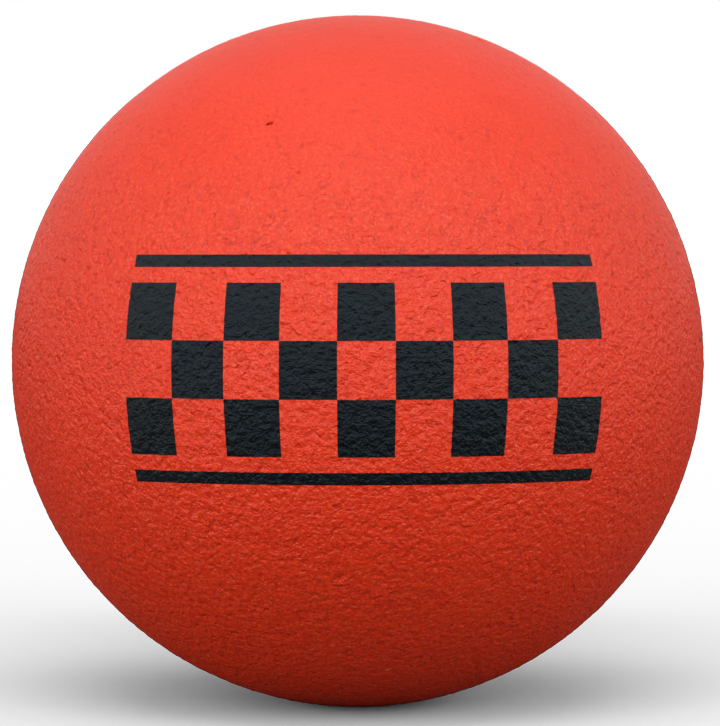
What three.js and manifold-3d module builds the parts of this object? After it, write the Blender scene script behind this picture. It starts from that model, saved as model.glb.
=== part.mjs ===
// A coated foam ball for play: a solid ball of soft foam inside one closed skin.
// Millimetres, +Z up. The origin is the centre of the ball, and the front faces -Y.

import * as THREE from 'three';
import { mergeVertices } from 'three/addons/utils/BufferGeometryUtils.js';
import Module from 'manifold-3d';

// Driving dimensions
const ballDiameter = 200; // over the skin
const skinThickness = 0.8; // sprayed coat, once cured
const bondLine = 0.3; // room between the foam and the coat
const restFlatDepth = 0.5; // how far the soft ball sinks onto its resting place
const ventDiameter = 0.9; // breather pinhole through the coat
const ventElevation = 44; // degrees up from the equator
const ventAzimuth = -20; // degrees round from the front, to the left seen from there

// Facets
const facetsPerQuarter = 14; // from the resting flat to the equator, and from there to the crown
const facetsAround = 4 * facetsPerQuarter;
const ventFacets = 12;

// Sizes that follow from the driving dimensions
const ballRadius = ballDiameter / 2;
const skinInnerRadius = ballRadius - skinThickness;
const coreRadius = skinInnerRadius - bondLine;

const wasm = await Module();
wasm.setup();

// A closed geometry as a solid that can be cut.
function solidFrom(geometry) {
  const bare = geometry.toNonIndexed();
  bare.deleteAttribute('normal');
  bare.deleteAttribute('uv');
  const merged = mergeVertices(bare);
  return new wasm.Manifold(new wasm.Mesh({
    numProp: 3,
    vertProperties: new Float32Array(merged.getAttribute('position').array),
    triVerts: new Uint32Array(merged.getIndex().array),
  }));
}

// A cut solid back as a geometry for a mesh.
function geometryFrom(solid) {
  const mesh = solid.getMesh();
  const geometry = new THREE.BufferGeometry();
  geometry.setAttribute('position', new THREE.BufferAttribute(mesh.vertProperties, 3));
  geometry.setIndex(new THREE.BufferAttribute(mesh.triVerts, 1));
  geometry.computeVertexNormals();
  return geometry;
}

// A ball that has settled by restFlatDepth onto a level floor: its section, from the middle of the
// resting flat round to the crown, turned about the upright axis.
function settledBall(radius) {
  const flatHeight = restFlatDepth - radius;
  const flatEdge = Math.asin(flatHeight / radius);
  const section = new THREE.Path();
  section.moveTo(0, flatHeight);
  section.lineTo(radius * Math.cos(flatEdge), flatHeight);
  section.absarc(0, 0, radius, flatEdge, 0, false);
  section.absarc(0, 0, radius, 0, Math.PI / 2, false);
  const divisions = facetsPerQuarter / 2; // a path gives each arc two facets per division
  const geometry = new THREE.LatheGeometry(section.getPoints(divisions), facetsAround);
  return geometry.rotateX(Math.PI / 2);
}

// The breather pinhole's drill, square to the skin, long enough to clear both of its faces.
function ventDrill() {
  const drillLength = 4 * (skinThickness + bondLine);
  const geometry = new THREE.CylinderGeometry(
    ventDiameter / 2,
    ventDiameter / 2,
    drillLength,
    ventFacets,
  );
  const up = THREE.MathUtils.degToRad(ventElevation);
  const round = THREE.MathUtils.degToRad(ventAzimuth);
  const outward = new THREE.Vector3(
    Math.cos(up) * Math.sin(round),
    -Math.cos(up) * Math.cos(round),
    Math.sin(up),
  );
  const turn = new THREE.Quaternion().setFromUnitVectors(new THREE.Vector3(0, 1, 0), outward);
  geometry.applyQuaternion(turn);
  const middle = outward.multiplyScalar((ballRadius + skinInnerRadius) / 2);
  return geometry.translate(middle.x, middle.y, middle.z);
}

// The foam: one solid moulding.
function makeFoamCore() {
  const foam = new THREE.MeshStandardMaterial({ color: 0xe9dfc4, roughness: 0.95, metalness: 0 });
  const core = new THREE.Mesh(settledBall(coreRadius), foam);
  core.name = 'foam_core';
  return core;
}

// The coat: an even shell round the foam, open only at the pinhole.
function makeSkin() {
  const outside = solidFrom(settledBall(ballRadius));
  const inside = solidFrom(settledBall(skinInnerRadius));
  const shell = outside.subtract(inside).subtract(solidFrom(ventDrill()));
  const coat = new THREE.MeshStandardMaterial({ color: 0xee4a2e, roughness: 0.5, metalness: 0 });
  const skin = new THREE.Mesh(geometryFrom(shell), coat);
  skin.name = 'skin';
  return skin;
}

const foamBall = new THREE.Group();
foamBall.name = 'foam_ball';
foamBall.add(makeFoamCore(), makeSkin());

export default foamBall;
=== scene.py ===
# %% [markdown]
# # A coated foam ball
#
# A ball of soft foam under one tough, sprayed skin, the kind that is thrown in school halls. This
# lesson dresses a plain, correctly sized model of it: the skin gets its grain as real relief, the
# front gets a printed band, and the foam inside gets its open cells.
#
# The plain model comes first, because the ball's own sizes are read from it. Nothing here moves or
# resizes it. All lengths are in metres.

# %% Load the plain model
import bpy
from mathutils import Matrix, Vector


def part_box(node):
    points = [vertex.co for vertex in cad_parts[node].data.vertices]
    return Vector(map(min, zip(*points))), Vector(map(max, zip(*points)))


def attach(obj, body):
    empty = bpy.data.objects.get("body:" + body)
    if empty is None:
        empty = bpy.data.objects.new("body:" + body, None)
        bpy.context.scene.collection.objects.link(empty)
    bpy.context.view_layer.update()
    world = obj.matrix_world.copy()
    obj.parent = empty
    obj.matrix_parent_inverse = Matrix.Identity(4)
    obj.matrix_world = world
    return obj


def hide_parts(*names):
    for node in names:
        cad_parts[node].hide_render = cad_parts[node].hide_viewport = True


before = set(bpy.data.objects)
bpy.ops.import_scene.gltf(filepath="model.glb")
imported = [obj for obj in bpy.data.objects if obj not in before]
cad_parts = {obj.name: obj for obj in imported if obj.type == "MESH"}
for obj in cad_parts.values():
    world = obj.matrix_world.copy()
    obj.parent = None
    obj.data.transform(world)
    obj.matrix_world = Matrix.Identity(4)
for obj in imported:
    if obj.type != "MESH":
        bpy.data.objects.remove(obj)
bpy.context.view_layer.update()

# %% Imports and the ball's sizes
import math
import random

import bmesh
import bpy
from mathutils import Matrix, Vector, kdtree, noise

MM = 0.001

skin_low, skin_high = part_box("skin")
core_low, core_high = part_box("foam_core")
BALL_RADIUS = (skin_high.x - skin_low.x) / 2
CORE_RADIUS = (core_high.x - core_low.x) / 2
SKIN_THICKNESS = 0.8 * MM
SKIN_INNER_RADIUS = BALL_RADIUS - SKIN_THICKNESS
SKIN_FLAT = skin_low.z
CORE_FLAT = core_low.z
SKIN_INNER_FLAT = SKIN_FLAT + SKIN_THICKNESS
print("ball radius", round(BALL_RADIUS / MM, 2), "mm, foam radius", round(CORE_RADIUS / MM, 2), "mm")

# %% [markdown]
# ## The camera
#
# The photograph looks almost level at the front of the ball. Only the outline fixes the camera: a
# ball of known radius, at a chosen distance, has to fill a circle of known radius in pixels. That
# gives the focal length. The camera is made first because some marks on the skin are placed by
# their pixel in the photograph, and a pixel only means something through a camera.

# %% Camera from the ball's outline
PHOTO_SIZE = (720, 726)
OUTLINE_CENTRE = (357.2, 360.4)
OUTLINE_RADIUS = 345.5
CAMERA_DISTANCE = 1.2
CAMERA_ELEVATION = math.radians(4)
SENSOR = 36.0

focal_pixels = OUTLINE_RADIUS / math.tan(math.asin(BALL_RADIUS / CAMERA_DISTANCE))
metres_per_pixel = CAMERA_DISTANCE / focal_pixels

to_camera = Vector((0, -math.cos(CAMERA_ELEVATION), math.sin(CAMERA_ELEVATION)))
view_right = Vector((1, 0, 0))
view_up = Vector((0, math.sin(CAMERA_ELEVATION), math.cos(CAMERA_ELEVATION)))

camera_data = bpy.data.cameras.new("camera")
camera_data.lens = focal_pixels * SENSOR / max(PHOTO_SIZE)
camera_data.sensor_width = SENSOR
camera_data.clip_start = 0.01
camera = bpy.data.objects.new("camera", camera_data)
bpy.context.collection.objects.link(camera)
bpy.context.scene.camera = camera

# The frame's middle lies a little right of and below the ball's, so the camera aims there.
aim_right = ((PHOTO_SIZE[0] - 1) / 2 - OUTLINE_CENTRE[0]) * metres_per_pixel
aim_up = (OUTLINE_CENTRE[1] - (PHOTO_SIZE[1] - 1) / 2) * metres_per_pixel
aim = view_right * aim_right + view_up * aim_up
camera.location = to_camera * CAMERA_DISTANCE
camera.rotation_euler = (aim - camera.location).to_track_quat("-Z", "Y").to_euler()
print("lens", round(camera_data.lens, 1), "mm")


def direction_at(pixel):
    """The direction, from the ball's centre, of the spot that a pixel of the photograph shows."""
    across = (pixel[0] - OUTLINE_CENTRE[0]) / focal_pixels
    upward = (OUTLINE_CENTRE[1] - pixel[1]) / focal_pixels
    ray = (view_right * across + view_up * upward - to_camera).normalized()
    start = to_camera * CAMERA_DISTANCE
    middle = -start.dot(ray)
    reach = math.sqrt(max(0.0, BALL_RADIUS**2 - start.length_squared + middle**2))
    return (start + ray * (middle - reach)).normalized()


# %% [markdown]
# ## The skin's grain
#
# The coat is sprayed on and cures with a fine, wrinkled grain: soft swellings a millimetre or two
# apart, with dents and short folds between them. The relief is only a tenth of a millimetre or so,
# yet it is what makes the ball look like this ball, so it is real geometry and not only a bump.
#
# A UV sphere crowds its faces at the poles and an icosphere comes only in steps of four times, so
# the ball starts as six square grids, the sides of a cube, blown up to a sphere. The tangent in the
# warp evens out the squares' sizes. Two noises of different size then lift each vertex along its
# radius, and a slow swell underneath keeps the field from looking like wallpaper. Wet coat runs a
# little before it cures, so the crown is smoother than the rest, and the relief fades towards it.

# %% A ball of six warped grids
def ball_of_grids(radius, cells):
    """A closed sphere of six grids, each with cells by cells squares of nearly one size."""
    bm = bmesh.new()
    quarter = math.pi / 2
    sides = [Matrix.Rotation(quarter * turn, 4, "X") for turn in range(4)]
    sides += [Matrix.Rotation(quarter * turn, 4, "Y") for turn in (-1, 1)]
    lift = Matrix.Translation((0, 0, 1))
    for side in sides:
        bmesh.ops.create_grid(bm, x_segments=cells, y_segments=cells, size=1, matrix=side @ lift)
    bmesh.ops.remove_doubles(bm, verts=bm.verts, dist=0.1 / cells)
    for vert in bm.verts:
        even = Vector([math.tan(part * math.pi / 4) for part in vert.co])
        vert.co = even.normalized() * radius
    return bm


SKIN_CELLS = 372
skin_mesh = ball_of_grids(BALL_RADIUS, SKIN_CELLS)
print("smooth skin:", len(skin_mesh.faces), "squares")

# %% Grain as relief
GRAIN_SIZES = (1.9 * MM, 1.1 * MM)
GRAIN_STEEPNESS = 0.08
SWELL_SIZE = 4.5 * MM
SWELL_STEEPNESS = 0.015
GRAIN_UNIT = 0.1 * MM
CALM_FROM = 0.45 * BALL_RADIUS
CALM_TO = 0.8 * BALL_RADIUS
CALM_SHARE = 0.5


def calm_at(level):
    """The share of the grain that is left at a level, down to CALM_SHARE on the crown."""
    climbed = (level - CALM_FROM) / (CALM_TO - CALM_FROM)
    return 1 - (1 - CALM_SHARE) * min(1, max(0, climbed))


def grain_height(spot):
    """Height of the grain over the even ball, about zero on average."""
    swell = noise.noise(spot / SWELL_SIZE, noise_basis="PERLIN_ORIGINAL")
    height = SWELL_STEEPNESS * SWELL_SIZE * swell
    for size in GRAIN_SIZES:
        wave = noise.noise(spot / size, noise_basis="PERLIN_ORIGINAL")
        height += GRAIN_STEEPNESS * size * wave
    return height * calm_at(spot.z)


grain_layer = skin_mesh.verts.layers.float.new("grain")
heights = []
for vert in skin_mesh.verts:
    height = grain_height(vert.co)
    heights.append(height)
    vert[grain_layer] = height / GRAIN_UNIT
    vert.co *= 1 + height / BALL_RADIUS
mean_height = sum(heights) / len(heights)
print("grain from", round(min(heights) / MM, 3), "to", round(max(heights) / MM, 3), "mm")
print("mean", round(mean_height / MM, 3), "mm")

# %% [markdown]
# ## Nibs and pits
#
# A sprayed coat is never perfect. A bit of dust makes a nib, a burst bubble makes a pit, and knocks
# leave dents, one of them where the outline shows against the background. The clearest ones are
# placed by their pixel in the photograph, and a seeded scatter puts a few more where it shows little
# or nothing. Each is a smooth dome or dimple about a millimetre wide. An attribute keeps where the
# pits and nibs are, so that the material can tint them: pits get painted shade, and nibs are tinted
# pale.

# %% Marks placed by pixel
PIT_UPPER_LEFT = (96, 175)
PIT_LEFT = (105, 211)
PIT_LEFT_EDGE = (62, 259)
PIT_UNDER_CROWN = (298, 172)
PIT_LEFT_OF_CROWN = (168, 192)
SCRATCH_AT_VENT = (269.5, 123.4)
SCRATCH_END = (271.0, 122.3)
NICK_ON_OUTLINE = (478.5, 38.6)
DENT_LOWER_LEFT = (186, 540)
NIB_LOW = (280, 673)
FLECK_LOW = (386, 669.5)
FLECK_LOW_END = (389, 668.5)

PIT_DEPTH = 0.1 * MM
NIB_HEIGHT = 0.15 * MM
NICK_DEPTH = 0.35 * MM
DENT_DEPTH = 0.5 * MM
MARK_WIDTH = 0.36 * MM
DENT_WIDTH = 0.75 * MM
NICK_WIDTH = 1.3 * MM
FULL_TINT = 1
PIT_TINT = 0.7
NICK_TINT = 0.5

# Each mark: where it is, how wide, how high, and its tint from -1 for painted shade to 1 for pale
marks = []
for pixel in (PIT_UPPER_LEFT, PIT_LEFT, PIT_LEFT_EDGE, PIT_UNDER_CROWN, PIT_LEFT_OF_CROWN):
    marks.append((direction_at(pixel), MARK_WIDTH, -PIT_DEPTH, -PIT_TINT))
for pixel in (SCRATCH_AT_VENT, SCRATCH_END):
    marks.append((direction_at(pixel), MARK_WIDTH, -PIT_DEPTH, -FULL_TINT))
for pixel in (NIB_LOW, FLECK_LOW, FLECK_LOW_END):
    marks.append((direction_at(pixel), MARK_WIDTH, NIB_HEIGHT, FULL_TINT))
marks.append((direction_at(DENT_LOWER_LEFT), DENT_WIDTH, -DENT_DEPTH, 0))
marks.append((direction_at(NICK_ON_OUTLINE), NICK_WIDTH, -NICK_DEPTH, -NICK_TINT))
print(len(marks), "marks from the photograph")

# %% More marks, scattered over the rest
MARK_COUNT = 60
SCATTER_SEED = 4
SIZE_SPREAD = (0.8, 1.2)
SEEN_COSINE = 0.2

chance = random.Random(SCATTER_SEED)
while len(marks) < MARK_COUNT:
    way = Vector([chance.gauss(0, 1) for _ in range(3)]).normalized()
    size = chance.uniform(*SIZE_SPREAD)
    tint = chance.choice((-PIT_TINT, -PIT_TINT, PIT_TINT))
    height = NIB_HEIGHT if tint > 0 else -PIT_DEPTH
    if way.dot(to_camera) < SEEN_COSINE:
        marks.append((way, MARK_WIDTH * size, height * size, tint))
print(len(marks), "marks in all")

# %% Press the marks into the skin
MARK_REACH = 3

near = kdtree.KDTree(len(skin_mesh.verts))
skin_mesh.verts.ensure_lookup_table()
for index, vert in enumerate(skin_mesh.verts):
    near.insert(vert.co, index)
near.balance()

mark_layer = skin_mesh.verts.layers.float.new("mark")
for way, width, height, tint in marks:
    place = way * BALL_RADIUS
    found = near.find_range(place, MARK_REACH * width)
    for _, index, distance in found:
        vert = skin_mesh.verts[index]
        share = math.exp(-0.5 * (distance / width) ** 2)
        vert.co += way * height * share
        vert[mark_layer] += tint * share
marked = [vert for vert in skin_mesh.verts if vert[mark_layer]]
print(len(marked), "vertices tinted")

# %% Rest it on its flat
resting = [vert for vert in skin_mesh.verts if vert.co.z < SKIN_FLAT]
for vert in resting:
    vert.co.z = SKIN_FLAT
print(len(resting), "vertices on the flat")

# %% [markdown]
# ## The printed band
#
# Balls like this carry a black screen print on the front. Here it is a plain chequered band between
# two lines. The ink lies on the grain and follows all of it, so the print can't be a flat decal: it
# is a copy of the skin's own squares, cut along meridians and levels with bisect_plane, with the
# gaps deleted, lifted off the coat and closed round the edge by solidify.

# %% The band's layout
BAND_CENTRE = (366, 370)
CHECK_ANGLE = math.radians(9)
CHECK_COLUMNS = 9
CHECK_ROWS = 3
LINE_INNER = math.radians(16)
LINE_OUTER = math.radians(18)
BAND_HALF_WIDTH = CHECK_COLUMNS * CHECK_ANGLE / 2
BAND_HALF_HEIGHT = CHECK_ROWS * CHECK_ANGLE / 2

band_front = direction_at(BAND_CENTRE)
band_right = Vector((0, 0, 1)).cross(-band_front).normalized()
band_up = band_right.cross(-band_front).normalized()


def band_angles(spot):
    """How far round, and how far up, a spot lies from the middle of the band, as angles."""
    way = spot.normalized()
    around = math.atan2(way.dot(band_right), way.dot(band_front))
    above = math.asin(way.dot(band_up))
    return around, above


middle_around, middle_above = band_angles(band_front + 0.1 * band_right + 0.1 * band_up)
print("right and up are positive:", middle_around > 0, middle_above > 0)

# %% Copy the skin under the band
print_mesh = skin_mesh.copy()
SPARE_ANGLE = math.radians(1)
outside = []
for vert in print_mesh.verts:
    around, above = band_angles(vert.co)
    if abs(around) > BAND_HALF_WIDTH + SPARE_ANGLE or abs(above) > LINE_OUTER + SPARE_ANGLE:
        outside.append(vert)
bmesh.ops.delete(print_mesh, geom=outside, context="VERTS")
print("squares under the band:", len(print_mesh.faces))

# %% Cut along meridians and levels
CUT_TOLERANCE = 1e-7


def cut(bm, point, normal):
    """Splits every face that the plane crosses."""
    everything = bm.verts[:] + bm.edges[:] + bm.faces[:]
    bmesh.ops.bisect_plane(bm, geom=everything, dist=CUT_TOLERANCE, plane_co=point, plane_no=normal)


for column in range(CHECK_COLUMNS + 1):
    angle = column * CHECK_ANGLE - BAND_HALF_WIDTH
    across = band_right * math.cos(angle) - band_front * math.sin(angle)
    cut(print_mesh, Vector(), across)
row_levels = [row * CHECK_ANGLE - BAND_HALF_HEIGHT for row in range(CHECK_ROWS + 1)]
line_levels = [-LINE_OUTER, -LINE_INNER, LINE_INNER, LINE_OUTER]
for angle in row_levels + line_levels:
    cut(print_mesh, band_up * BALL_RADIUS * math.sin(angle), band_up)
print("after the cuts:", len(print_mesh.faces))


# %% Keep the inked squares
def is_inked(spot):
    """True where the band has ink."""
    around, above = band_angles(spot)
    if abs(around) > BAND_HALF_WIDTH:
        return False
    if abs(above) < BAND_HALF_HEIGHT:
        column = math.floor((around + BAND_HALF_WIDTH) / CHECK_ANGLE)
        row = math.floor((above + BAND_HALF_HEIGHT) / CHECK_ANGLE)
        return (column + row) % 2 == 0
    return LINE_INNER < abs(above) < LINE_OUTER


bare = [face for face in print_mesh.faces if not is_inked(face.calc_center_median())]
bmesh.ops.delete(print_mesh, geom=bare, context="FACES")
print("inked:", len(print_mesh.faces))

# %% Lift the ink, fray its edge a little and give it thickness
INK_LIFT = 0.03 * MM
INK_THICKNESS = 0.04 * MM
FRAY_SIZE = 1.1 * MM
FRAY_REACH = 0.06 * MM
FRAY_SEED = 4

# Without a seed, noise_vector takes one from the clock
noise.seed_set(FRAY_SEED)
for vert in print_mesh.verts:
    if vert.is_boundary:
        vert.co += noise.noise_vector(vert.co / FRAY_SIZE) * FRAY_REACH
    vert.co *= 1 + INK_LIFT / BALL_RADIUS
bmesh.ops.solidify(print_mesh, geom=print_mesh.faces[:], thickness=INK_THICKNESS)
bmesh.ops.recalc_face_normals(print_mesh, faces=print_mesh.faces[:])
farthest = max(vert.co.length for vert in print_mesh.verts)
print("ink reaches", round(farthest / MM, 2), "mm from the centre")

# %% [markdown]
# ## The pinhole and the inner wall
#
# The coat closes the foam all round, so a squeezed ball could not breathe without a hole. Its one
# pinhole is seen upper left as a dark prick. To make it, the squares round it are deleted, a small
# circle is set in their place and bridged to the edge of the gap, and its rim is pulled down through
# the coat. A smooth icosphere, turned inside out, is the wall that lies on the foam.

# %% Inner wall of the coat
VENT_RADIUS = 0.45 * MM
VENT_GAP = 0.85 * MM
VENT_WALL_GAP = 2.25 * MM
VENT_SIDES = 20
VENT_ELEVATION = math.radians(44)
VENT_AZIMUTH = math.radians(-20)
WALL_STEPS = 6
vent_way = Vector((
    math.cos(VENT_ELEVATION) * math.sin(VENT_AZIMUTH),
    -math.cos(VENT_ELEVATION) * math.cos(VENT_AZIMUTH),
    math.sin(VENT_ELEVATION),
))

wall = bmesh.ops.create_icosphere(
    skin_mesh,
    subdivisions=WALL_STEPS,
    radius=SKIN_INNER_RADIUS,
)["verts"]
wall_faces = list(dict.fromkeys(face for vert in wall for face in vert.link_faces))
bmesh.ops.reverse_faces(skin_mesh, faces=wall_faces)
for vert in wall:
    vert.co.z = max(vert.co.z, SKIN_INNER_FLAT)
print("inner wall:", len(wall_faces), "triangles")

# %% Open the pinhole
vent_top = vent_way * BALL_RADIUS
vent_foot = vent_way * SKIN_INNER_RADIUS
middle_radius = (BALL_RADIUS + SKIN_INNER_RADIUS) / 2
opened = [vert for vert in skin_mesh.verts if (vert.co - vent_top).length < VENT_GAP]
opened = [vert for vert in opened if vert.co.length > middle_radius]
opened += [vert for vert in wall if (vert.co - vent_foot).length < VENT_WALL_GAP]
bmesh.ops.delete(skin_mesh, geom=opened, context="VERTS")

torn = [edge for edge in skin_mesh.edges if edge.is_boundary]
torn_top = [edge for edge in torn if edge.verts[0].co.length > middle_radius]
torn_foot = [edge for edge in torn if edge.verts[0].co.length < middle_radius]

turn_to_vent = vent_way.to_track_quat("Z", "Y").to_matrix().to_4x4()
rim = bmesh.ops.create_circle(
    skin_mesh,
    segments=VENT_SIDES,
    radius=VENT_RADIUS,
    matrix=Matrix.Translation(vent_top) @ turn_to_vent,
)["verts"]
scratch_way = (direction_at(SCRATCH_END) * BALL_RADIUS - vent_top).normalized()
# The pinhole's rim gets painted shade on the side of the scratch.
for vert in rim:
    vert[mark_layer] = -max(0, (vert.co - vent_top).normalized().dot(scratch_way))
rim_edges = list(dict.fromkeys(edge for vert in rim for edge in vert.link_edges))
bmesh.ops.bridge_loops(skin_mesh, edges=torn_top + rim_edges)
tube = bmesh.ops.extrude_edge_only(skin_mesh, edges=rim_edges)["geom"]
tube_verts = [part for part in tube if isinstance(part, bmesh.types.BMVert)]
tube_edges = [part for part in tube if isinstance(part, bmesh.types.BMEdge)]
bmesh.ops.translate(skin_mesh, verts=tube_verts, vec=vent_foot - vent_top)
bmesh.ops.bridge_loops(skin_mesh, edges=tube_edges + torn_foot)
bmesh.ops.recalc_face_normals(skin_mesh, faces=skin_mesh.faces[:])
loose = [edge for edge in skin_mesh.edges if not edge.is_manifold]
print("open edges left in the skin:", len(loose))


# %% Make the skin and the print objects
def add_piece(name, bm, sharp_angle=60):
    """Makes a mesh object of bm at the origin, smooth but for its sharp edges."""
    mesh = bpy.data.meshes.new(name)
    bm.to_mesh(mesh)
    bm.free()
    mesh.shade_smooth()
    mesh.set_sharp_from_angle(angle=math.radians(sharp_angle))
    piece = bpy.data.objects.new(name, mesh)
    bpy.context.collection.objects.link(piece)
    return piece


skin = add_piece("grained_skin", skin_mesh)
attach(skin, "root")
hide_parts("skin")

band = add_piece("chequered_print", print_mesh)
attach(band, "root")

# %% [markdown]
# ## The foam inside
#
# Under the skin is one moulding of open-cell foam, pale cream, which nothing shows but the pinhole.
# It is still a piece of its own. Voronoi cells press dimples into a ball of grids, deepest in the
# middle of each cell, and the material adds the smaller pores.

# %% Foam core
CORE_CELLS = 96
FOAM_CELL = 4.5 * MM
FOAM_DEPTH = 0.8 * MM
CELL_WALL = 0.5

core_mesh = ball_of_grids(CORE_RADIUS, CORE_CELLS)
for vert in core_mesh.verts:
    distances, _ = noise.voronoi(vert.co / FOAM_CELL)
    wall_share = min(1.0, (distances[1] - distances[0]) / CELL_WALL)
    vert.co *= 1 - FOAM_DEPTH * wall_share / CORE_RADIUS
    vert.co.z = max(vert.co.z, CORE_FLAT)
core = add_piece("open_cell_foam", core_mesh)
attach(core, "root")
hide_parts("foam_core")
print("foam:", len(core.data.polygons), "squares")


# %% [markdown]
# ## The coat's material
#
# The relief gives the grain its light and shade, and the material paints more of both on. Sprayed
# pigment is never quite even, so a slow noise drifts the red a little. The creases of the grain get
# painted shade and its tips a painted highlight, which the grain's own height, kept as an attribute,
# tells apart. Pale flecks from a fine noise are painted glints. The finest wrinkles are a bump. The
# painted glints and the bump fade towards the crown as the relief does.
#
# Cured polyurethane is matt with a thin satin film on it, so the gloss is the shader's clear coat over
# a base that has none. A rough surface loses gloss towards its outline, where the grain shades
# itself, and a weight that falls as the surface turns away does the same. A pit has no film.


# %% Helpers for node trees
def new_material(name):
    """An empty material with a Principled shader, and its node tree."""
    material = bpy.data.materials.new(name)
    material.use_nodes = True
    tree = material.node_tree
    tree.nodes.clear()
    shader = tree.nodes.new("ShaderNodeBsdfPrincipled")
    output = tree.nodes.new("ShaderNodeOutputMaterial")
    tree.links.new(shader.outputs["BSDF"], output.inputs["Surface"])
    return material, tree, shader


def add_noise(tree, size, detail, harshness=0.5):
    """A noise texture on Object coordinates whose blobs are about size across."""
    places = tree.nodes.new("ShaderNodeTexCoord")
    texture = tree.nodes.new("ShaderNodeTexNoise")
    texture.inputs["Scale"].default_value = 1 / size
    texture.inputs["Detail"].default_value = detail
    texture.inputs["Roughness"].default_value = harshness
    tree.links.new(places.outputs["Object"], texture.inputs["Vector"])
    return texture.outputs["Fac"]


def add_range(tree, value, before, after):
    """A value stretched from one range to another, and held inside it."""
    node = tree.nodes.new("ShaderNodeMapRange")
    node.inputs["From Min"].default_value = before[0]
    node.inputs["From Max"].default_value = before[1]
    node.inputs["To Min"].default_value = after[0]
    node.inputs["To Max"].default_value = after[1]
    tree.links.new(value, node.inputs["Value"])
    return node.outputs["Result"]


def add_mix(tree, factor, first, second):
    """A blend of two colours, each a plain colour or the output of a node."""
    node = tree.nodes.new("ShaderNodeMix")
    node.data_type = "RGBA"
    tree.links.new(factor, node.inputs["Factor"])
    for colour, socket in ((first, node.inputs[6]), (second, node.inputs[7])):
        if isinstance(colour, bpy.types.NodeSocket):
            tree.links.new(colour, socket)
        else:
            socket.default_value = (*colour, 1)
    return node.outputs[2]


def add_bump(tree, height, distance, under=None):
    """A bump of a given height in metres, on top of another one if there is one."""
    node = tree.nodes.new("ShaderNodeBump")
    node.inputs["Distance"].default_value = distance
    tree.links.new(height, node.inputs["Height"])
    if under is not None:
        tree.links.new(under, node.inputs["Normal"])
    return node.outputs["Normal"]


def add_calm(tree, share):
    """A value of 1 over most of the ball that falls to share on the crown."""
    places = tree.nodes.new("ShaderNodeTexCoord")
    parts = tree.nodes.new("ShaderNodeSeparateXYZ")
    tree.links.new(places.outputs["Object"], parts.inputs["Vector"])
    return add_range(tree, parts.outputs["Z"], (CALM_FROM, CALM_TO), (1, share))


def add_product(tree, first, second):
    """Two values multiplied."""
    node = tree.nodes.new("ShaderNodeMath")
    node.operation = "MULTIPLY"
    tree.links.new(first, node.inputs[0])
    tree.links.new(second, node.inputs[1])
    return node.outputs["Value"]


WRINKLE_SIZE = 2.0 * MM
WRINKLE_HARSHNESS = 0.75
WRINKLE_HEIGHT = 1.2 * MM
HOLLOW_SIZE = 1.9 * MM
HOLLOW_RANGE = (0.6, 0.74)
HOLLOW_DEPTH = 0.2 * MM


def add_wrinkles(tree):
    """What is too fine for the mesh: wrinkles and small hollows, calmer towards the crown."""
    calm = add_calm(tree, CALM_SHARE)
    folds = add_noise(tree, WRINKLE_SIZE, 3, WRINKLE_HARSHNESS)
    wrinkles = add_bump(tree, folds, WRINKLE_HEIGHT)
    tree.links.new(calm, wrinkles.node.inputs["Strength"])
    dips = add_range(tree, add_noise(tree, HOLLOW_SIZE, 0), HOLLOW_RANGE, (0, -1))
    hollows = add_bump(tree, dips, HOLLOW_DEPTH, under=wrinkles)
    tree.links.new(calm, hollows.node.inputs["Strength"])
    return hollows


# %% Coat: colour
# The coat's own reds drift between a deep and a pale one. The rest are painted light: painted shade in
# creases and pits, a painted highlight on the grain's tips, and painted glints as pale specks. Nibs
# are tinted pale.
COAT_DEEP = (0.88, 0.031, 0.0008)
COAT_PALE = (0.91, 0.035, 0.0016)
CREASE_SHADE_RED = (0.70, 0.020, 0.0004)
GLINT_SPECK_RED = (0.945, 0.076, 0.018)
TIP_HIGHLIGHT_RED = (0.93, 0.042, 0.0040)
PIT_SHADE_RED = (0.42, 0.010, 0.002)
NIB_RED = (1.0, 0.22, 0.10)
DRIFT_SIZE = 14 * MM
GLINT_SPECK_SIZE = 0.9 * MM
GLINT_SPECKS_ON_CROWN = 0.15

# Where each shade sets in and where it is fullest, by noise, by the grain's height or by mark
DRIFT_RANGE = (0.3, 0.7)
GLINT_SPECK_RANGE = (0.5, 0.72)
CREASE_SHADE_RANGE = (-0.3, -0.9)
TIP_HIGHLIGHT_RANGE = (0.3, 1.5)
PIT_SHADE_RANGE = (-0.2, -0.8)
NIB_RANGE = (0.3, 0.9)

skin_material, tree, shader = new_material("skin_coat")
drift = add_range(tree, add_noise(tree, DRIFT_SIZE, 3), DRIFT_RANGE, (0, 1))
colour = add_mix(tree, drift, COAT_DEEP, COAT_PALE)

grain = tree.nodes.new("ShaderNodeAttribute")
grain.attribute_name = "grain"
# Painted shade: the creases of the grain are a deeper red.
crease_shade = add_range(tree, grain.outputs["Fac"], CREASE_SHADE_RANGE, (0, 0.6))
colour = add_mix(tree, crease_shade, colour, CREASE_SHADE_RED)
# Painted highlight: the tips of the grain are a paler red.
tip_highlight = add_range(tree, grain.outputs["Fac"], TIP_HIGHLIGHT_RANGE, (0, 0.6))
colour = add_mix(tree, tip_highlight, colour, TIP_HIGHLIGHT_RED)

# Painted glints: pale specks from a fine noise, fewer towards the crown.
glint_speck = add_range(tree, add_noise(tree, GLINT_SPECK_SIZE, 1), GLINT_SPECK_RANGE, (0, 1))
glint_speck = add_product(tree, glint_speck, add_calm(tree, GLINT_SPECKS_ON_CROWN))
colour = add_mix(tree, glint_speck, colour, GLINT_SPECK_RED)

mark = tree.nodes.new("ShaderNodeAttribute")
mark.attribute_name = "mark"
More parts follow.
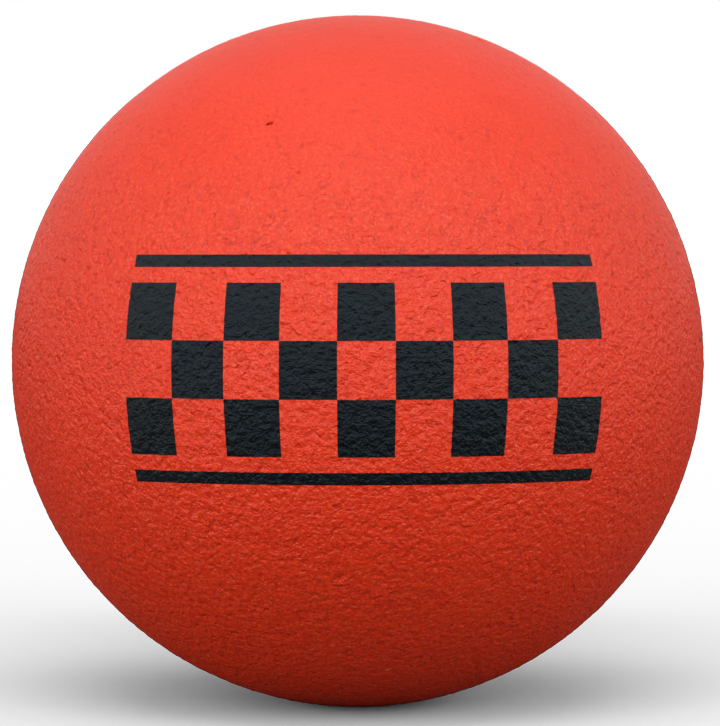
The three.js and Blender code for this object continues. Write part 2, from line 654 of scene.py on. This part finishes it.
# Painted shade: pits, scratches and the nick are a dark red.
pit_shade = add_range(tree, mark.outputs["Fac"], PIT_SHADE_RANGE, (0, 0.8))
colour = add_mix(tree, pit_shade, colour, PIT_SHADE_RED)
nib = add_range(tree, mark.outputs["Fac"], NIB_RANGE, (0, 0.9))
colour = add_mix(tree, nib, colour, NIB_RED)
tree.links.new(colour, shader.inputs["Base Color"])

# %% Coat: satin film and finest wrinkles
FILM_WEIGHT = 0.76
FILM_AT_OUTLINE = 0.38
FILM_ROUGHNESS = 0.22
FACING_RANGE = (0.1, 0.9)
UNFILMED_PIT_RANGE = (-0.1, -0.5)

turned = tree.nodes.new("ShaderNodeLayerWeight")
fade = add_range(tree, turned.outputs["Facing"], FACING_RANGE, (FILM_WEIGHT, FILM_AT_OUTLINE))
# Pits lose the satin film as well as getting painted shade.
film_left = add_range(tree, mark.outputs["Fac"], UNFILMED_PIT_RANGE, (1, 0))
tree.links.new(add_product(tree, fade, film_left), shader.inputs["Coat Weight"])
shader.inputs["Coat Roughness"].default_value = FILM_ROUGHNESS
shader.inputs["Specular IOR Level"].default_value = 0
wrinkles = add_wrinkles(tree)
tree.links.new(wrinkles, shader.inputs["Normal"])
tree.links.new(wrinkles, shader.inputs["Coat Normal"])
skin.data.materials.append(skin_material)
print("coat:", len(tree.nodes), "nodes")

# %% [markdown]
# ## The ink and the foam
#
# Screen ink is a thin, bluish black film that lets the grain through. It glints where the grain does,
# less than the coat and with the blue of its carbon black, and it thins to a dull dark grey on the
# tips of the grain, where the print has been rubbed. The foam is cream polyurethane, dull all over.
# Its larger cells are relief, and its pores, about a millimetre wide, are painted shade with a bump.

# %% Ink
INK_BLACK = (0.0016, 0.0026, 0.0034)
INK_RUBBED = (0.007, 0.010, 0.012)
INK_GLINT = (0.64, 0.85, 1)
INK_ROUGHNESS = 0.26
INK_SHINE = 0.2
RUBBED_RANGE = (0.4, 1.6)

ink_material, tree, shader = new_material("black_ink")
grain = tree.nodes.new("ShaderNodeAttribute")
grain.attribute_name = "grain"
rubbed = add_range(tree, grain.outputs["Fac"], RUBBED_RANGE, (0, 0.6))
tree.links.new(add_mix(tree, rubbed, INK_BLACK, INK_RUBBED), shader.inputs["Base Color"])
shader.inputs["Roughness"].default_value = INK_ROUGHNESS
shader.inputs["Specular IOR Level"].default_value = INK_SHINE
shader.inputs["Specular Tint"].default_value = (*INK_GLINT, 1)
tree.links.new(add_wrinkles(tree), shader.inputs["Normal"])
band.data.materials.append(ink_material)
print("ink:", len(tree.nodes), "nodes")

# %% Foam
FOAM_CREAM = (0.82, 0.74, 0.55)
FOAM_AGED = (0.78, 0.66, 0.42)
FOAM_PORE_SHADE = (0.42, 0.34, 0.2)
FOAM_ROUGHNESS = 0.9
PORE_SIZE = 1.6 * MM
PORE_DEPTH = 0.6 * MM
PORE_SHADE_RANGE = (0.15, 0.45)
AGEING_SIZE = 20 * MM
AGEING_RANGE = (0.3, 0.7)

foam_material, tree, shader = new_material("cream_foam")
places = tree.nodes.new("ShaderNodeTexCoord")
pores = tree.nodes.new("ShaderNodeTexVoronoi")
pores.inputs["Scale"].default_value = 1 / PORE_SIZE
tree.links.new(places.outputs["Object"], pores.inputs["Vector"])
# Painted shade: the pores are a darker cream.
pore_shade = add_range(tree, pores.outputs["Distance"], PORE_SHADE_RANGE, (1, 0))
ageing = add_range(tree, add_noise(tree, AGEING_SIZE, 3), AGEING_RANGE, (0, 0.35))
aged = add_mix(tree, ageing, FOAM_CREAM, FOAM_AGED)
tree.links.new(add_mix(tree, pore_shade, aged, FOAM_PORE_SHADE), shader.inputs["Base Color"])
shader.inputs["Roughness"].default_value = FOAM_ROUGHNESS
tree.links.new(add_bump(tree, pores.outputs["Distance"], PORE_DEPTH), shader.inputs["Normal"])
core.data.materials.append(foam_material)
print("foam:", len(tree.nodes), "nodes")

# %% [markdown]
# ## The studio
#
# The ball stands in a white studio. A wide, soft strip lights it from high in front, and a narrow one
# above its middle wakes the glints of the grain. A box hangs over the crown, and a low fill stands at
# each side, the left one stronger. Their strengths come from the photograph's own shading: brightest
# on the upper front, falling off slowly to the sides and quickly under the belly, where only the
# floor lights it.
#
# The background has to look white, but a white floor would fill the shaded belly with light. So the
# floor is a grey that returns as much light as the belly needs, and the render keeps only its
# shadow. The sky shows white to the camera and in gloss, and lights the ball at a lower level.

# %% Floor
FLOOR_SIZE = 30
FLOOR_GREY = (0.24, 0.24, 0.24)

floor_mesh = bmesh.new()
at_base = Matrix.Translation((0, 0, SKIN_FLAT))
bmesh.ops.create_grid(floor_mesh, x_segments=1, y_segments=1, size=FLOOR_SIZE, matrix=at_base)
floor = add_piece("floor", floor_mesh)
floor.is_shadow_catcher = True

floor_material, tree, shader = new_material("floor")
shader.inputs["Base Color"].default_value = (*FLOOR_GREY, 1)
shader.inputs["Roughness"].default_value = 1
shader.inputs["Specular IOR Level"].default_value = 0
floor.data.materials.append(floor_material)

# %% Sky
SKY_LEVEL = 0.2
SKY_SEEN = 1.0

world = bpy.data.worlds.new("studio")
bpy.context.scene.world = world
world.use_nodes = True
tree = world.node_tree
tree.nodes.clear()
path = tree.nodes.new("ShaderNodeLightPath")
shown = path.outputs["Is Camera Ray"]
for kind in ("Is Glossy Ray", "Is Transmission Ray"):
    either = tree.nodes.new("ShaderNodeMath")
    either.operation = "MAXIMUM"
    tree.links.new(shown, either.inputs[0])
    tree.links.new(path.outputs[kind], either.inputs[1])
    shown = either.outputs["Value"]
strength = tree.nodes.new("ShaderNodeMix")
strength.inputs["A"].default_value = SKY_LEVEL
strength.inputs["B"].default_value = SKY_SEEN
tree.links.new(shown, strength.inputs["Factor"])
background = tree.nodes.new("ShaderNodeBackground")
background.inputs["Color"].default_value = (1, 1, 1, 1)
tree.links.new(strength.outputs["Result"], background.inputs["Strength"])
output = tree.nodes.new("ShaderNodeOutputWorld")
tree.links.new(background.outputs["Background"], output.inputs["Surface"])


# %% Lamps
def soft_box(name, azimuth, elevation, distance, width, height, power):
    """An area lamp that faces the ball. Azimuth 0 is the front, and positive is to its right."""
    lamp = bpy.data.lights.new(name, "AREA")
    lamp.shape = "RECTANGLE"
    lamp.size = width
    lamp.size_y = height
    lamp.energy = power
    box = bpy.data.objects.new(name, lamp)
    bpy.context.collection.objects.link(box)
    level = math.cos(math.radians(elevation))
    way = Vector((
        level * math.sin(math.radians(azimuth)),
        -level * math.cos(math.radians(azimuth)),
        math.sin(math.radians(elevation)),
    ))
    box.location = way * distance
    box.rotation_euler = (-way).to_track_quat("-Z", "Y").to_euler()
    print(name, "at", [round(part, 2) for part in box.location])


soft_box(
    "front_strip",
    azimuth=0,
    elevation=33,
    distance=1.9,
    width=4.5,
    height=1.8,
    power=29.8,
)
soft_box(
    "key_light",
    azimuth=0,
    elevation=53,
    distance=1.9,
    width=1.2,
    height=0.2,
    power=5,
)
soft_box(
    "top_box",
    azimuth=0,
    elevation=95,
    distance=1.9,
    width=2.2,
    height=1.0,
    power=9,
)
soft_box(
    "left_fill",
    azimuth=-68,
    elevation=0,
    distance=2.0,
    width=3.0,
    height=1.4,
    power=28,
)
soft_box(
    "right_fill",
    azimuth=76,
    elevation=10,
    distance=2.0,
    width=3.0,
    height=1.4,
    power=18,
)

# %% View and hand over
bpy.context.scene.view_settings.view_transform = "Standard"
